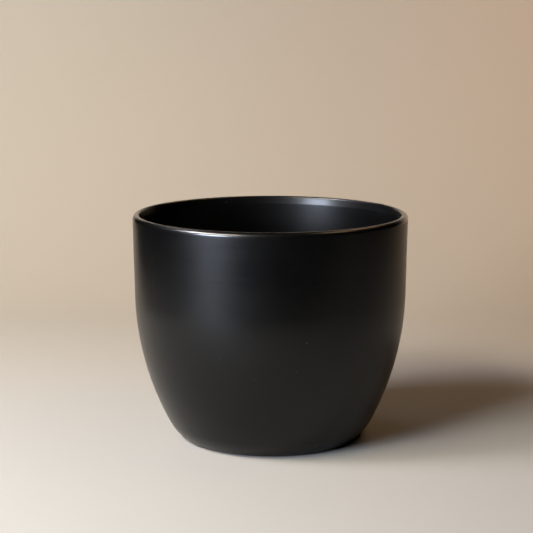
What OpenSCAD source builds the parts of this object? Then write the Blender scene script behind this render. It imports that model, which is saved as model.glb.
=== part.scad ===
// Round pot of black fired clay with a rolled lip, standing on three felt pads.
// Millimetres, +Z up. The origin is on the floor under the middle of the pot.

/* [Pot] */
// Diameter over the rim
rim_d = 170; // [150:1:190]
// Height from the floor to the top of the lip
pot_h = 140; // [130:1:160]
// Thickness of the clay wall
wall_t = 4.8; // [4.6:0.1:6]
// Thickness of the clay floor
floor_t = 7; // [5:0.5:10]

/* [Outline] */
// Lean of the straight upper wall, in degrees from upright
flank_lean = 0.93; // [0.2:0.01:2]
// Height at which the straight wall turns into the curve of the belly
belly_h = 90; // [80:1:100]
// Radius of the long curve of the belly
belly_r = 178; // [165:1:200]
// Height at which the belly turns into the tighter curve of the foot
foot_h = 10.5; // [9:0.5:14]
// Radius of the curve of the foot
foot_r = 32; // [26:1:40]
// Radius of the hollow between the wall and the floor, inside
hollow_r = 16; // [10:1:20]

/* [Lip] */
// Rounding of the lip on the outside
lip_outer_r = 2.6; // [2:0.1:2.8]
// Rounding of the lip on the inside
lip_inner_r = 1.3; // [0.8:0.1:1.4]
// Width of the flat between the two roundings
lip_flat_w = 0.2; // [0.1:0.1:0.6]
// Depth of the bevel inside the lip, from the top down to its crease
bevel_h = 5; // [3:0.5:10]

/* [Underside] */
// Diameter of the shallow recess under the foot
recess_d = 92; // [84:1:100]
// Depth of the recess
recess_t = 1.2; // [0.8:0.1:1.6]
// Diameter of one felt pad
pad_d = 14; // [8:1:16]
// Thickness of one felt pad, deeper than the recess so that the clay clears the floor
pad_t = 2; // [1.8:0.1:3]
// Diameter of the circle through the middles of the pads
pad_ring_d = 68; // [50:1:72]

/* [Hidden] */

pad_count = 3;
first_pad_angle = 90;           // the first pad is at the back

$fa = 1;                        // smoothest step round the pot, in degrees
$fs = 0.5;                      // shortest facet on the small parts
arc_step = 1;                   // length of a facet on a large arc of the outline
fine_step = 0.25;               // and on the roundings of the lip

rim_r = rim_d / 2;
recess_r = recess_d / 2;
stand_off = pad_t - recess_t;   // height of the clay above the floor
floor_h = stand_off + floor_t;  // height of the inside floor

// The point at a distance and an angle from a centre
function polar(centre, r, angle) = centre + r * [cos(angle), sin(angle)];

// Points along an arc that starts at the outline's last point and ends at the angle to
function arc(centre, r, from, to, step) =
    let (count = ceil(r * abs(to - from) * PI / 180 / step))
    [for (i = [1:count]) polar(centre, r, from + (to - from) * i / count)];

// The lip's outer rounding reaches the full width of the rim, and the wall runs down from it
outer_round = [rim_r - lip_outer_r, pot_h - lip_outer_r];
wall_top = polar(outer_round, lip_outer_r, -flank_lean);

// Radius of the straight wall at height z, outside and inside
function flank_radius(z) = wall_top.x - (wall_top.y - z) * tan(flank_lean);
function inside_radius(z) = flank_radius(z) - wall_t / cos(flank_lean);

// The belly's arc is tangent to the straight wall, and the foot's arc to the belly's
belly_centre = polar([flank_radius(belly_h), belly_h], -belly_r, -flank_lean);
belly_angle = asin((foot_h - belly_centre.y) / belly_r);
foot_centre = polar(belly_centre, belly_r - foot_r, belly_angle);
foot_angle = asin((stand_off - foot_centre.y) / foot_r);

// Inside, the belly's arc is parallel to the outside, and the hollow's arc joins it to the floor
inside_r = belly_r - wall_t;
hollow_angle = asin((floor_h + hollow_r - belly_centre.y) / (inside_r - hollow_r));
hollow_centre = polar(belly_centre, inside_r - hollow_r, hollow_angle);

// The bevel inside the lip rises from the crease, and is tangent to the lip's inner rounding
crease = [inside_radius(pot_h - bevel_h), pot_h - bevel_h];
inner_round = [outer_round.x - lip_flat_w, pot_h - lip_inner_r];
bevel_span = inner_round - crease;
bevel_angle = atan2(bevel_span.y, bevel_span.x) + asin(lip_inner_r / norm(bevel_span));

// The clay on one side of the axis, going up the outside, over the lip and down the inside
function clay_outline() = concat(
    [[0, pad_t], [recess_r, pad_t], [recess_r, stand_off]],
    [polar(foot_centre, foot_r, foot_angle)],
    arc(foot_centre, foot_r, foot_angle, belly_angle, arc_step),
    arc(belly_centre, belly_r, belly_angle, -flank_lean, 4 * arc_step),
    [wall_top],
    arc(outer_round, lip_outer_r, -flank_lean, 90, fine_step),
    [[inner_round.x, pot_h]],
    arc(inner_round, lip_inner_r, 90, bevel_angle + 90, fine_step),
    [crease],
    [polar(belly_centre, inside_r, -flank_lean)],
    arc(belly_centre, inside_r, -flank_lean, hollow_angle, 4 * arc_step),
    arc(hollow_centre, hollow_r, hollow_angle, -90, arc_step),
    [[0, floor_h]]
);

// The fired clay vessel: floor, wall and lip in one piece
module pot_body() {
    color("#1a1b1d") rotate_extrude() polygon(clay_outline());
}

// A round felt pad, stuck to the roof of the recess under the foot
module felt_pad(number) {
    angle = first_pad_angle + (number - 1) * 360 / pad_count;
    color("#4a4744") rotate([0, 0, angle]) translate([pad_ring_d / 2, 0, 0]) cylinder(h = pad_t, d = pad_d);
}

pot_body();
felt_pad(1);  // felt_pad_1
felt_pad(2);  // felt_pad_2
felt_pad(3);  // felt_pad_3
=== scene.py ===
# A round pot of burnished black clay on three felt pads, standing in a plain studio.
# Metres, +Z up, in the frame of the CAD part: the origin is on the floor under the middle of the pot.
import math

import bpy
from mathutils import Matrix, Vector, noise


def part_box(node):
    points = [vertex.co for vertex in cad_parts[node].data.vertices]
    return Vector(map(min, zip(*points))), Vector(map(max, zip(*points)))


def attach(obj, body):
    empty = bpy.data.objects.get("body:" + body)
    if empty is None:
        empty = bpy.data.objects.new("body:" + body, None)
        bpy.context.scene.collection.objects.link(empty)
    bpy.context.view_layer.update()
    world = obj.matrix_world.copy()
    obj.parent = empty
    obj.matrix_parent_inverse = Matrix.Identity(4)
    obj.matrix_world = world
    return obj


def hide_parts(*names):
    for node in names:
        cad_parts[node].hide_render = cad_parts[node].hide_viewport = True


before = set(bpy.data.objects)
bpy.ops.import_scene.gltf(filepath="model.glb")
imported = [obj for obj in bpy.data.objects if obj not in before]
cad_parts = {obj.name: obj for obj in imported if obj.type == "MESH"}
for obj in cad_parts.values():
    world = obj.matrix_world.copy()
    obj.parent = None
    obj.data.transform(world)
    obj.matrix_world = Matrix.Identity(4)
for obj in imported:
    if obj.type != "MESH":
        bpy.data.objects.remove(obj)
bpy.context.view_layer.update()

MM = 0.001
SEED = 7

# --------------------------------------------------------------------------------------------------
# Sizes of the clay. The frame gives the outside, and the rest is the same as in the CAD part.
# --------------------------------------------------------------------------------------------------
clay_low, clay_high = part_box("pot_body")
RIM_R = clay_high.x
POT_H = clay_high.z
STAND_OFF = clay_low.z
PAD_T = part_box("felt_pad_1")[1].z

WALL_T = 4.8 * MM
FLOOR_Z = STAND_OFF + 7 * MM
FLANK_LEAN = 0.93          # degrees
BELLY_Z = 90 * MM
BELLY_R = 178 * MM
FOOT_Z = 10.5 * MM
FOOT_R = 32 * MM
HOLLOW_R = 16 * MM
LIP_OUTER_R = 2.6 * MM
LIP_INNER_R = 1.3 * MM
LIP_FLAT = 0.2 * MM
BEVEL_H = 5 * MM
RECESS_R = 46 * MM

# How finely the outline is drawn, and how softly its edges are worn
SEGMENTS = 256
LONG_STEP = 1.5 * MM
ROUND_STEP = 0.8 * MM
LIP_STEP = 0.22 * MM
FOOT_EDGE_WEAR = 0.6 * MM
RECESS_EDGE_WEAR = 0.35 * MM
CREASE_WEAR = 0.35 * MM

# How far the hand has left the wall from a true turned one, and how many waves there are to a metre
WALL_WAVE = 0.05 * MM
WAVES_ROUND = 18
WAVES_UP = 40

# Rings round the axis: their height, the distance between them, and the radii where they fade in and out
THROWING_RINGS = {
    "height": 0.16 * MM,
    "pitch": 5.5 * MM,
    "fades_in": (1 * MM, 8 * MM),
    "fades_out": (30 * MM, 46 * MM),
}
TURNING_RINGS = {
    "height": 0.06 * MM,
    "pitch": 2.3 * MM,
    "fades_in": (4 * MM, 9 * MM),
    "fades_out": (40 * MM, 44 * MM),
}

# The throwing rings end where the inside has risen this far above its floor
THROWN_FLOOR_H = 1 * MM

# The felt pads
PAD_SEGMENTS = 96
PAD_EDGE_R = 0.45 * MM
PAD_STEP = 0.25 * MM
FELT_SQUEEZE = 0.07 * MM
FELT_TUFT_H = 0.03 * MM
FELT_TUFTS = 1.9           # to a millimetre
FELT_FIBRES = 5.3          # to a millimetre

# The pot's material slots
BURNISHED, RAW, BURNISHED_INSIDE = range(3)


# --------------------------------------------------------------------------------------------------
# Outline tools: points are (distance from the axis, height), angles are in degrees
# --------------------------------------------------------------------------------------------------
def polar(centre, radius, angle):
    """The point at a distance and an angle from a centre."""
    turn = math.radians(angle)
    return centre + radius * Vector((math.cos(turn), math.sin(turn)))


def arc(centre, radius, start, end, step):
    """Points along an arc, without its first point."""
    count = max(2, math.ceil(radius * math.radians(abs(end - start)) / step))
    return [polar(centre, radius, start + (end - start) * i / count) for i in range(1, count + 1)]


def line(start, end, step):
    """Points along a straight line, without its first point."""
    count = max(1, math.ceil((end - start).length / step))
    return [start.lerp(end, i / count) for i in range(1, count + 1)]


def worn_corner(before, corner, after, reach, count=6):
    """Points that round a corner off over a short reach on each side of it."""
    entry = corner + reach * (before - corner).normalized()
    leave = corner + reach * (after - corner).normalized()
    steps = [i / count for i in range(count + 1)]
    return [entry.lerp(corner, t).lerp(corner.lerp(leave, t), t) for t in steps]


# --------------------------------------------------------------------------------------------------
# The clay's outline. Its arcs run smoothly into each other, so each centre is found from the one above.
# --------------------------------------------------------------------------------------------------
LIP_CENTRE = Vector((RIM_R - LIP_OUTER_R, POT_H - LIP_OUTER_R))
LIP_START = polar(LIP_CENTRE, LIP_OUTER_R, -FLANK_LEAN)


def flank(z, inwards=0.0):
    """A point of the straight upper wall at a height, on its outside or some way inwards of it."""
    slope = math.tan(math.radians(FLANK_LEAN))
    return Vector((LIP_START.x - (LIP_START.y - z) * slope - inwards, z))


BELLY_CENTRE = polar(flank(BELLY_Z), -BELLY_R, -FLANK_LEAN)
BELLY_ANGLE = math.degrees(math.asin((FOOT_Z - BELLY_CENTRE.y) / BELLY_R))
FOOT_CENTRE = polar(BELLY_CENTRE, BELLY_R - FOOT_R, BELLY_ANGLE)
FOOT_ANGLE = math.degrees(math.asin((STAND_OFF - FOOT_CENTRE.y) / FOOT_R))
FOOT_EDGE = polar(FOOT_CENTRE, FOOT_R, FOOT_ANGLE)
FOOT_ARC = arc(FOOT_CENTRE, FOOT_R, FOOT_ANGLE, BELLY_ANGLE, ROUND_STEP)


def underside_outline():
    """The raw clay, from the axis out over the recess and the ring round it to the edge of the foot."""
    roof_middle = Vector((0, PAD_T))
    roof_corner = Vector((RECESS_R, PAD_T))
    ring_corner = Vector((RECESS_R, STAND_OFF))
    points = [roof_middle]
    points += line(roof_middle, roof_corner - Vector((2 * RECESS_EDGE_WEAR, 0)), ROUND_STEP)
    points += worn_corner(roof_middle, roof_corner, ring_corner, RECESS_EDGE_WEAR)
    points += worn_corner(roof_corner, ring_corner, FOOT_EDGE, RECESS_EDGE_WEAR)
    points += line(points[-1], FOOT_EDGE - Vector((2 * FOOT_EDGE_WEAR, 0)), ROUND_STEP)
    points += worn_corner(ring_corner, FOOT_EDGE, FOOT_ARC[0], FOOT_EDGE_WEAR)
    return points


def outside_outline():
    """The burnished outside, from the foot up the belly and the wall to the top of the lip."""
    points = FOOT_ARC + arc(BELLY_CENTRE, BELLY_R, BELLY_ANGLE, -FLANK_LEAN, LONG_STEP)
    points += line(points[-1], LIP_START, LONG_STEP)
    points += arc(LIP_CENTRE, LIP_OUTER_R, -FLANK_LEAN, 90, LIP_STEP)
    return points


def inside_outline():
    """The burnished inside, from the top of the lip down its bevel and the wall to the axis."""
    lip_centre = Vector((LIP_CENTRE.x - LIP_FLAT, POT_H - LIP_INNER_R))
    crease = flank(POT_H - BEVEL_H, inwards=WALL_T / math.cos(math.radians(FLANK_LEAN)))
    span = lip_centre - crease
    bevel_angle = math.degrees(math.atan2(span.y, span.x) + math.asin(LIP_INNER_R / span.length))
    bevel_top = polar(lip_centre, LIP_INNER_R, bevel_angle + 90)

    belly_r = BELLY_R - WALL_T
    belly_top = polar(BELLY_CENTRE, belly_r, -FLANK_LEAN)
    hollow_angle = math.degrees(math.asin((FLOOR_Z + HOLLOW_R - BELLY_CENTRE.y) / (belly_r - HOLLOW_R)))
    hollow_centre = polar(BELLY_CENTRE, belly_r - HOLLOW_R, hollow_angle)

    points = [Vector((lip_centre.x, POT_H))]
    points += arc(lip_centre, LIP_INNER_R, 90, bevel_angle + 90, LIP_STEP)
    points += line(bevel_top, crease.lerp(bevel_top, 2 * CREASE_WEAR / BEVEL_H), ROUND_STEP)
    points += worn_corner(bevel_top, crease, belly_top, CREASE_WEAR)
    points += line(points[-1], belly_top, LONG_STEP)
    points += arc(BELLY_CENTRE, belly_r, -FLANK_LEAN, hollow_angle, LONG_STEP)
    points += arc(hollow_centre, HOLLOW_R, hollow_angle, -90, ROUND_STEP)
    points += line(points[-1], Vector((0, FLOOR_Z)), ROUND_STEP)
    return points


# --------------------------------------------------------------------------------------------------
# Mesh tools
# --------------------------------------------------------------------------------------------------
def smooth_step(low, high, value):
    """0 below low, 1 above high, and a smooth rise between them."""
    t = min(max((value - low) / (high - low), 0), 1)
    return t * t * (3 - 2 * t)


def lathe(name, outline, segments, shape, centre=Vector((0, 0, 0)), slot_of=lambda ring: 0):
    """A closed body turned from an outline that starts and ends on the axis.

    shape(point, ring) moves a point of the true turned body. slot_of(ring) gives a band its material."""
    points = []
    for ring, (r, z) in enumerate(outline):
        on_axis = ring in (0, len(outline) - 1)
        for i in range(1 if on_axis else segments):
            turn = 2 * math.pi * i / segments
            point = Vector((r * math.cos(turn), r * math.sin(turn), z))
            points.append(shape(point, ring) + centre)

    def index(ring, i):
        if ring == 0:
            return 0
        if ring == len(outline) - 1:
            return len(points) - 1
        return 1 + (ring - 1) * segments + i % segments

    faces = []
    slots = []
    for ring in range(len(outline) - 1):
        for i in range(segments):
            corners = [index(ring, i), index(ring, i + 1), index(ring + 1, i + 1), index(ring + 1, i)]
            faces.append(list(dict.fromkeys(corners)))
            slots.append(slot_of(ring))
    mesh = bpy.data.meshes.new(name)
    mesh.from_pydata(points, [], faces)
    mesh.polygons.foreach_set("use_smooth", [True] * len(faces))
    mesh.polygons.foreach_set("material_index", slots)
    mesh.validate()
    mesh.update()
    piece = bpy.data.objects.new(name, mesh)
    bpy.context.scene.collection.objects.link(piece)
    return piece


# --------------------------------------------------------------------------------------------------
# Material tools
# --------------------------------------------------------------------------------------------------
def add_node(tree, kind, inputs=None, **settings):
    """A node with its settings and inputs. An input is a plain value, or an output that feeds it."""
    made = tree.nodes.new(kind)
    for key, value in settings.items():
        setattr(made, key, value)
    for key, value in (inputs or {}).items():
        if isinstance(value, bpy.types.NodeSocket):
            tree.links.new(value, made.inputs[key])
        else:
            made.inputs[key].default_value = value
    return made


def new_material(name):
    """A material, its node tree and its shader."""
    material = bpy.data.materials.new(name)
    material.use_nodes = True
    return material, material.node_tree, material.node_tree.nodes["Principled BSDF"]


def maths(tree, operation, *values):
    """The result of a sum on numbers."""
    made = add_node(tree, "ShaderNodeMath", dict(enumerate(values)), operation=operation)
    return made.outputs["Value"]


def vector_maths(tree, operation, *values):
    """The result of a sum on vectors, which for a length or a distance is a number."""
    made = add_node(tree, "ShaderNodeVectorMath", dict(enumerate(values)), operation=operation)
    return made.outputs["Value" if operation in ("LENGTH", "DISTANCE") else "Vector"]


def object_place(tree):
    """Where a point of the piece is, in metres."""
    return add_node(tree, "ShaderNodeTexCoord").outputs["Object"]


def grain(tree, stretch, detail, seed):
    """A noise over the piece. stretch is how many grains there are to a metre along x, y and z."""
    shift = (seed, 1.7 * seed, 2.3 * seed)
    scaled = add_node(
        tree, "ShaderNodeMapping",
        {"Vector": object_place(tree), "Scale": stretch, "Location": shift},
    )
    made = add_node(
        tree, "ShaderNodeTexNoise",
        {"Vector": scaled.outputs["Vector"], "Scale": 1.0, "Detail": detail},
    )
    return made.outputs["Fac"]


def ramp(tree, value, low, high, to_low, to_high, smooth=False):
    """value from low to high becomes to_low to to_high, and stays there beyond them."""
    made = add_node(
        tree, "ShaderNodeMapRange",
        {"Value": value, "From Min": low, "From Max": high, "To Min": to_low, "To Max": to_high},
        interpolation_type="SMOOTHSTEP" if smooth else "LINEAR",
    )
    return made.outputs["Result"]


def spread(tree, grains, to_low=0, to_high=1):
    """A noise, most of which lies from 0.3 to 0.7, spread over to_low to to_high."""
    return ramp(tree, grains, 0.3, 0.7, to_low, to_high)


def blend_colour(tree, factor, first, second):
    """The first colour where the factor is 0 and the second where it is 1."""
    made = add_node(tree, "ShaderNodeMix", data_type="RGBA")
    colour_inputs = [socket for socket in made.inputs if socket.type == "RGBA"]
    tree.links.new(factor, made.inputs[0])
    for socket, colour in zip(colour_inputs, (first, second)):
        if isinstance(colour, bpy.types.NodeSocket):
            tree.links.new(colour, socket)
        else:
            socket.default_value = (*colour, 1)
    return next(socket for socket in made.outputs if socket.type == "RGBA")


def bump(tree, height, depth, below=None):
    """A bump of a height from 0 to 1 that stands depth proud, on top of the bump below."""
    inputs = {"Height": height, "Distance": depth, "Strength": 1.0}
    if below is not None:
        inputs["Normal"] = below
    return add_node(tree, "ShaderNodeBump", inputs).outputs["Normal"]


# --------------------------------------------------------------------------------------------------
# Materials
# --------------------------------------------------------------------------------------------------
# The burnished clay: its deepest and palest black, and its specks, which fade in over a range of noise
CLAY_BLACKS = (0.0006, 0.0006, 0.0007), (0.0012, 0.0012, 0.0012)
CLAY_IOR = 1.38
OUTSIDE_ROUGHNESS = 0.305
INSIDE_ROUGHNESS = 0.345
CLOUD_ROUGHNESS = 0.02
STREAK_ROUGHNESS = 0.015
STREAK_H = 0.004 * MM
PEEL_H = 0.010 * MM
MICA_GREY = (0.030, 0.029, 0.028)
MICA_NOISE = 0.85, 0.88

# The lip, which is rubbed brighter than the walls
RIM_POLISH_R = 3.4 * MM
RIM_POLISH_FADE = 0.6 * MM
RIM_ROUGHNESS = 0.2
RIM_IOR = 1.42
BEVEL_POLISH = 0.3

# The raw clay: its darkest and lightest grey, and its pores, which fade out over a range of noise and
# whose pits are coloured near black as painted shade
RAW_GREYS = (0.016, 0.015, 0.014), (0.034, 0.032, 0.030)
RAW_ROUGHNESS = 0.74, 0.88
GRIT_H = 0.05 * MM
PORE_PAINTED_SHADE = (0.006, 0.006, 0.006)
PORE_NOISE = 0.24, 0.30
PORE_H = 0.08 * MM

# The felt: the greys of its fibres, and of the mats where they cling together
FIBRE_GREYS = (0.055, 0.052, 0.050), (0.14, 0.132, 0.125)
MAT_GREY = (0.070, 0.066, 0.063)
FELT_ROUGHNESS = 0.88, 0.98
FELT_SHEEN = 0.3
SHEEN_ROUGHNESS = 0.5
FIBRE_H = 0.06 * MM
MAT_H = 0.12 * MM

# The paper: pale in front and tinted by a painted warm light behind, turning from one depth to another,
# with faint fibres
PAPER_PALE = (0.400, 0.387, 0.358)
PAPER_PAINTED_WARM_LIGHT = (0.400, 0.358, 0.290)
PAINTED_WARM_LIGHT_FROM = -0.10
PAINTED_WARM_LIGHT_BY = 0.50
PAPER_FIBRE = (0.26, 0.24, 0.21)
PAPER_FIBRE_SHOWS = 0.02
PAPER_ROUGHNESS = 0.9
PAPER_SPECULAR = 0.15

# The haze: the painted glow of the paper far from the pot, which is also the colour the world shows to
# the camera, and how far from the pot the glow sets in
PAINTED_HAZE_GLOW = (0.52, 0.46, 0.38)
PAINTED_GLOW_FROM = 0.85
PAINTED_GLOW_BY = 2.4


def polished_rim(tree):
    """How polished the clay is: 1 on the lip, less on its bevel, and 0 on the walls."""
    place = object_place(tree)
    height = add_node(tree, "ShaderNodeSeparateXYZ", {"Vector": place}).outputs["Z"]
    radius = vector_maths(tree, "LENGTH", vector_maths(tree, "MULTIPLY", place, (1, 1, 0)))
    section = add_node(tree, "ShaderNodeCombineXYZ", {"X": radius, "Y": height}).outputs["Vector"]
    rim_middle = (RIM_R - RIM_POLISH_R, POT_H - LIP_INNER_R, 0)
    away = vector_maths(tree, "DISTANCE", section, rim_middle)
    rim = ramp(tree, away, RIM_POLISH_R, RIM_POLISH_R + RIM_POLISH_FADE, 1, 0, smooth=True)
    lip_end = RIM_R - LIP_OUTER_R - LIP_INNER_R
    reach = RIM_POLISH_FADE / 2
    lip = ramp(tree, radius, lip_end - reach, lip_end + reach, BEVEL_POLISH, 1, smooth=True)
    return maths(tree, "MULTIPLY", rim, lip)


def burnished_clay(name, roughness):
    """Black clay rubbed to a satin with a stone: level streaks, fine orange peel and specks of mica."""
    material, tree, shader = new_material(name)
    clouds = grain(tree, (22, 22, 30), detail=4, seed=3)
    streaks = grain(tree, (14, 14, 900), detail=3, seed=5)
    peel = grain(tree, (1500, 1500, 1500), detail=2, seed=11)
    specks = ramp(tree, grain(tree, (700, 700, 700), detail=0, seed=13), *MICA_NOISE, 0, 1)

    body = blend_colour(tree, spread(tree, clouds), *CLAY_BLACKS)
    specked = blend_colour(tree, specks, body, MICA_GREY)
    tree.links.new(specked, shader.inputs["Base Color"])

    clouded = spread(tree, clouds, roughness - CLOUD_ROUGHNESS, roughness + CLOUD_ROUGHNESS)
    streaked = maths(tree, "ADD", clouded, spread(tree, streaks, -STREAK_ROUGHNESS, STREAK_ROUGHNESS))
    tree.links.new(streaked, shader.inputs["Roughness"])
    shader.inputs["IOR"].default_value = CLAY_IOR

    tree.links.new(polished_rim(tree), shader.inputs["Coat Weight"])
    shader.inputs["Coat Roughness"].default_value = RIM_ROUGHNESS
    shader.inputs["Coat IOR"].default_value = RIM_IOR

    streaks_below = bump(tree, streaks, STREAK_H)
    tree.links.new(bump(tree, peel, PEEL_H, streaks_below), shader.inputs["Normal"])
    return material


def raw_clay():
    """The unpolished clay of the underside: matt charcoal, with pores whose pits hold a painted shade,
    and lighter patches.
    """
    material, tree, shader = new_material("raw_black_clay")
    clouds = grain(tree, (60, 60, 60), detail=5, seed=17)
    grit = grain(tree, (2600, 2600, 2600), detail=2, seed=19)
    pores = ramp(tree, grain(tree, (900, 900, 900), detail=0, seed=23), *PORE_NOISE, 0, 1)

    body = blend_colour(tree, spread(tree, clouds), *RAW_GREYS)
    # Painted shade: the pits of the pores are coloured near black
    pores_with_painted_shade = blend_colour(tree, pores, PORE_PAINTED_SHADE, body)
    tree.links.new(pores_with_painted_shade, shader.inputs["Base Color"])
    tree.links.new(spread(tree, clouds, *RAW_ROUGHNESS), shader.inputs["Roughness"])
    tree.links.new(bump(tree, grit, GRIT_H, bump(tree, pores, PORE_H)), shader.inputs["Normal"])
    return material


def pressed_felt():
    """Dark grey wool felt: matted fibres of several greys, with a soft sheen."""
    material, tree, shader = new_material("pressed_grey_felt")
    fibres = grain(tree, (3200, 3200, 9000), detail=3, seed=29)
    mats = grain(tree, (500, 500, 900), detail=3, seed=31)
    body = blend_colour(tree, spread(tree, fibres), *FIBRE_GREYS)
    matted = blend_colour(tree, spread(tree, mats), MAT_GREY, body)
    tree.links.new(matted, shader.inputs["Base Color"])
    tree.links.new(spread(tree, mats, *FELT_ROUGHNESS), shader.inputs["Roughness"])
    shader.inputs["Sheen Weight"].default_value = FELT_SHEEN
    shader.inputs["Sheen Roughness"].default_value = SHEEN_ROUGHNESS
    tree.links.new(bump(tree, fibres, FIBRE_H, bump(tree, mats, MAT_H)), shader.inputs["Normal"])
    return material


def studio_paper(name, with_painted_glow=False):
    """Pale paper, whiter in front and tinted by a painted warm light where it rises behind, and clear
    when seen from its back.

    Paper with a painted glow takes on the glowing colour of the haze far from the pot."""
    material, tree, shader = new_material(name)
    place = object_place(tree)
    depth = add_node(tree, "ShaderNodeSeparateXYZ", {"Vector": place}).outputs["Y"]
    # Painted warm light: the paper is tinted warmer further back
    painted_warm_light_amount = ramp(tree, depth, PAINTED_WARM_LIGHT_FROM, PAINTED_WARM_LIGHT_BY, 0, 1, smooth=True)
    paper_with_painted_light = blend_colour(tree, painted_warm_light_amount, PAPER_PALE, PAPER_PAINTED_WARM_LIGHT)
    fibres = grain(tree, (400, 400, 400), detail=3, seed=37)
    fibrous = blend_colour(tree, spread(tree, fibres, 0, PAPER_FIBRE_SHOWS), paper_with_painted_light, PAPER_FIBRE)
    tree.links.new(fibrous, shader.inputs["Base Color"])
    shader.inputs["Roughness"].default_value = PAPER_ROUGHNESS
    shader.inputs["Specular IOR Level"].default_value = PAPER_SPECULAR
    if with_painted_glow:
        # Painted glow: far from the pot the paper glows with the colour of the haze
        painted_glow_amount = ramp(tree, vector_maths(tree, "LENGTH", place), PAINTED_GLOW_FROM, PAINTED_GLOW_BY, 0, 1)
        tree.links.new(painted_glow_amount, shader.inputs["Emission Strength"])
        shader.inputs["Emission Color"].default_value = (*PAINTED_HAZE_GLOW, 1)

    back = add_node(tree, "ShaderNodeNewGeometry").outputs["Backfacing"]
    clear = add_node(tree, "ShaderNodeBsdfTransparent").outputs["BSDF"]
    surface = add_node(tree, "ShaderNodeMixShader", {0: back, 1: shader.outputs["BSDF"], 2: clear})
    tree.links.new(surface.outputs["Shader"], tree.nodes["Material Output"].inputs["Surface"])
    return material


# --------------------------------------------------------------------------------------------------
# The object
# --------------------------------------------------------------------------------------------------
def ring_height(point, start, height, pitch, fades_in, fades_out):
    """How high the rings stand at a point. start is the angle by which they lag there."""
    radius = math.hypot(point.x, point.y)
    fade = smooth_step(*fades_in, radius) * (1 - smooth_step(*fades_out, radius))
    return height * fade * (0.5 + 0.5 * math.cos(2 * math.pi * radius / pitch - start))


def uneven(point, side):
    """A point of the wall, moved outwards on side 1 or inwards on side -1 by a slow wave."""
    away_from_lip = 1 - smooth_step(POT_H - 2 * BEVEL_H, POT_H - BEVEL_H, point.z)
    above_floor = smooth_step(FLOOR_Z, 2 * FLOOR_Z, point.z)
    sample = Vector((point.x * WAVES_ROUND, point.y * WAVES_ROUND, point.z * WAVES_UP + SEED))
    wave = WALL_WAVE * away_from_lip * above_floor * (0.5 + noise.noise(sample))
    outwards = Vector((point.x, point.y, 0)).normalized()
    return point + side * wave * outwards


def make_pot():
    """The clay vessel: floor, wall and lip in one body."""
    raw = underside_outline()
    raw_and_outside = raw + outside_outline()
    outline = raw_and_outside + inside_outline()

    def hand_made(point, ring):
        inside = ring >= len(raw_and_outside)
        if ring < len(raw):
            point.z += ring_height(point, math.pi, **TURNING_RINGS)
            return point
        if inside and point.z < FLOOR_Z + THROWN_FLOOR_H:
            spiral = math.atan2(point.y, point.x)
            point.z += ring_height(point, spiral, **THROWING_RINGS)
            return point
        return uneven(point, 1 if inside else -1)

    def slot_of(ring):
        if ring < len(raw):
            return RAW
        return BURNISHED if ring < len(raw_and_outside) else BURNISHED_INSIDE

    pot = lathe("pot_clay", outline, SEGMENTS, hand_made, slot_of=slot_of)
    pot.data.materials.append(burnished_clay("burnished_black_clay", OUTSIDE_ROUGHNESS))
    pot.data.materials.append(raw_clay())
    pot.data.materials.append(burnished_clay("burnished_clay_inside", INSIDE_ROUGHNESS))
    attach(pot, "root")
    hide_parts("pot_body")


def make_pad(number, felt):
    """A round felt pad with soft, uneven edges and flat faces that are a little tufted."""
    node = f"felt_pad_{number}"
    low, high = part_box(node)
    radius = (high.x - low.x) / 2
    thick = high.z - low.z
    centre = Vector(((low.x + high.x) / 2, (low.y + high.y) / 2, 0))
    rim = radius - PAD_EDGE_R
    outline = [Vector((0, 0))] + line(Vector((0, 0)), Vector((rim, 0)), PAD_STEP)
    outline += arc(Vector((rim, PAD_EDGE_R)), PAD_EDGE_R, -90, 0, PAD_STEP / 2)
    outline += line(outline[-1], Vector((radius, thick - PAD_EDGE_R)), PAD_STEP)
    outline += arc(Vector((rim, thick - PAD_EDGE_R)), PAD_EDGE_R, 0, 90, PAD_STEP / 2)
    outline += line(outline[-1], Vector((0, thick)), PAD_STEP)

    def matted(point, ring):
        place = (point + centre) / MM
        tuft = noise.noise(place * FELT_TUFTS) + 0.5 * noise.noise(place * FELT_FIBRES)
        outwards = Vector((point.x, point.y, 0))
        at_edge = smooth_step(radius - 3 * PAD_EDGE_R, radius, outwards.length)
        if outwards.length > 0:
            point = point + FELT_SQUEEZE * at_edge * (tuft - 1.2) * outwards.normalized()
        near_face = abs(2 * point.z / thick - 1)
        upwards = 1 if point.z > thick / 2 else -1
        point.z += FELT_TUFT_H * (tuft - 1) * upwards * near_face
        point.z = min(max(point.z, 0), thick)
        return point

    pad = lathe(f"pad_felt_{number}", outline, PAD_SEGMENTS, matted, centre)
    pad.data.materials.append(felt)
    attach(pad, "root")
    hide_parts(node)


# --------------------------------------------------------------------------------------------------
# Studio
# --------------------------------------------------------------------------------------------------
# The paper in the light: its sides, its front, where it starts to rise, and where the light ends
PAPER_LEFT = -0.42
PAPER_RIGHT = 0.75
TABLE_FRONT = -0.36
COVE_START = 0.34
COVE_R = 0.70
COVE_STEP = 0.02
PAPER_H = 0.5

# The room round it, whose paper glows with a painted haze far from the pot
STUDIO_HALF_W = 3.0
STUDIO_FRONT = -3.2
STUDIO_H = 2.2


def paper_sheet(name, profile, left, right, paper):
    """A sheet of paper between two sides, along a profile of (y, z) points."""
    points = [(x, y, z) for y, z in profile for x in (left, right)]
    faces = [(2 * i, 2 * i + 1, 2 * i + 3, 2 * i + 2) for i in range(len(profile) - 1)]
    mesh = bpy.data.meshes.new(name)
    mesh.from_pydata(points, [], faces)
    mesh.polygons.foreach_set("use_smooth", [True] * len(faces))
    mesh.update()
    sheet = bpy.data.objects.new(name, mesh)
    bpy.context.scene.collection.objects.link(sheet)
    sheet.data.materials.append(paper)
    return sheet


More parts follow.
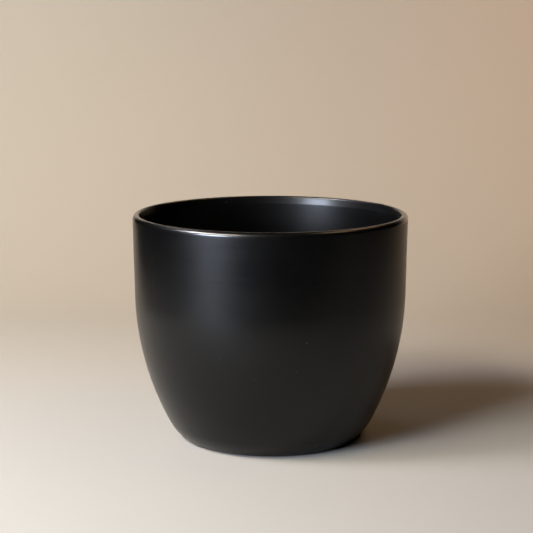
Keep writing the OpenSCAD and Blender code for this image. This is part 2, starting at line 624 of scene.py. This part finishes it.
def make_stage():
    """Paper that lies on a small table and sweeps up behind the pot.

    The floor and walls round it are there for other views, shed no light on the pot, and far from it
    glow with a painted haze."""
    paper = studio_paper("studio_paper")
    painted_glow_paper = studio_paper("painted_glow_paper", with_painted_glow=True)
    front, table_front, cove = (Vector((y, 0)) for y in (STUDIO_FRONT, TABLE_FRONT, COVE_START))
    sweep = arc(Vector((COVE_START, COVE_R)), COVE_R, -90, 0, COVE_STEP)
    lit = sum(point.y < PAPER_H for point in sweep)
    above = sweep[lit - 1:] + [Vector((COVE_START + COVE_R, STUDIO_H))]
    table = [table_front, cove] + sweep[:lit]
    room = [front] + table + above[1:]
    paper_sheet("table_paper", table, PAPER_LEFT, PAPER_RIGHT, paper)
    unlit = [
        paper_sheet("floor_in_front", room[:2], PAPER_LEFT, PAPER_RIGHT, painted_glow_paper),
        paper_sheet("wall_above", above, PAPER_LEFT, PAPER_RIGHT, painted_glow_paper),
        paper_sheet("room_on_left", room, -STUDIO_HALF_W, PAPER_LEFT, painted_glow_paper),
        paper_sheet("room_on_right", room, PAPER_RIGHT, STUDIO_HALF_W, painted_glow_paper),
    ]
    for sheet in unlit:
        sheet.visible_diffuse = False
        sheet.visible_glossy = False
        sheet.visible_shadow = False


def aim(obj, place, target):
    """Puts a light or camera at a place, looking at the target."""
    obj.location = place
    obj.rotation_mode = "QUATERNION"
    obj.rotation_quaternion = (target - place).to_track_quat("-Z", "Y")


def softbox(name, azimuth, elevation, distance, size, power, colour, target, spread_angle=180):
    """A flat soft light. Its azimuth is in degrees left of the front, its distance from its target."""
    side = math.radians(azimuth)
    rise = math.radians(elevation)
    level = Vector((-math.sin(side), -math.cos(side), 0))
    away = level * math.cos(rise) + Vector((0, 0, math.sin(rise)))
    light = bpy.data.lights.new(name, "AREA")
    light.shape = "RECTANGLE"
    light.size, light.size_y = size
    light.energy = power
    light.color = colour
    light.spread = math.radians(spread_angle)
    lamp = bpy.data.objects.new(name, light)
    bpy.context.scene.collection.objects.link(lamp)
    lamp.visible_camera = False
    aim(lamp, target + distance * away, target)


def backdrop_lamp(name, x, colour):
    """A lamp over the paper behind the pot, leaning out to its side."""
    softbox(
        name, azimuth=90 if x < 0 else -90, elevation=84, distance=1.0, size=(0.35, 0.35),
        power=1.25, colour=colour, target=Vector((x, 0.75, 0)), spread_angle=100,
    )


def make_lights():
    """Three lights from the left, a faint one from the right, and two lamps over the backdrop."""
    pot_middle = Vector((0, 0, POT_H / 2))
    softbox(
        "key_softbox", azimuth=53, elevation=43, distance=1.05, size=(0.65, 0.25),
        power=13.5, colour=(1.0, 0.90, 0.72), target=pot_middle,
    )
    softbox(
        "side_softbox", azimuth=75, elevation=43, distance=1.2, size=(0.35, 0.35),
        power=9.5, colour=(0.87, 0.86, 1.0), target=pot_middle,
    )
    softbox(
        "low_softbox", azimuth=46, elevation=10, distance=1.05, size=(0.42, 0.26),
        power=18, colour=(0.74, 0.83, 1.0), target=pot_middle,
    )
    softbox(
        "warm_fill", azimuth=-90, elevation=60, distance=1.2, size=(0.35, 0.35),
        power=1.0, colour=(1.0, 0.70, 0.40), target=pot_middle,
    )
    backdrop_lamp("backdrop_left", -0.4, (1.0, 0.90, 0.78))
    backdrop_lamp("backdrop_right", 0.4, (1.0, 0.55, 0.30))


def make_world():
    """A world that sheds no light, but shows as pale haze where a view looks past the paper."""
    world = bpy.data.worlds.new("hazy_room")
    world.use_nodes = True
    tree = world.node_tree
    in_view = add_node(tree, "ShaderNodeLightPath").outputs["Is Camera Ray"]
    colour = blend_colour(tree, in_view, (0, 0, 0), PAINTED_HAZE_GLOW)
    tree.links.new(colour, tree.nodes["Background"].inputs["Color"])
    bpy.context.scene.world = world


CAMERA_PLACE = Vector((-0.0023, -0.8627, 0.2598))
CAMERA_PITCH = 10.105      # degrees below level
CAMERA_LENS = 94.95        # millimetres
CAMERA_SENSOR_W = 36       # millimetres
CAMERA_NEAR = 0.01


def make_camera():
    """The camera looks straight ahead and a little down on the pot."""
    camera = bpy.data.objects.new("camera", bpy.data.cameras.new("camera"))
    bpy.context.scene.collection.objects.link(camera)
    camera.data.sensor_width = CAMERA_SENSOR_W
    camera.data.lens = CAMERA_LENS
    camera.data.clip_start = CAMERA_NEAR
    camera.location = CAMERA_PLACE
    camera.rotation_euler = (math.radians(90 - CAMERA_PITCH), 0, 0)
    bpy.context.scene.camera = camera


make_camera()
make_pot()
pad_felt = pressed_felt()
for pad_number in (1, 2, 3):
    make_pad(pad_number, pad_felt)
make_stage()
make_lights()
make_world()
bpy.context.scene.view_settings.view_transform = "Standard"
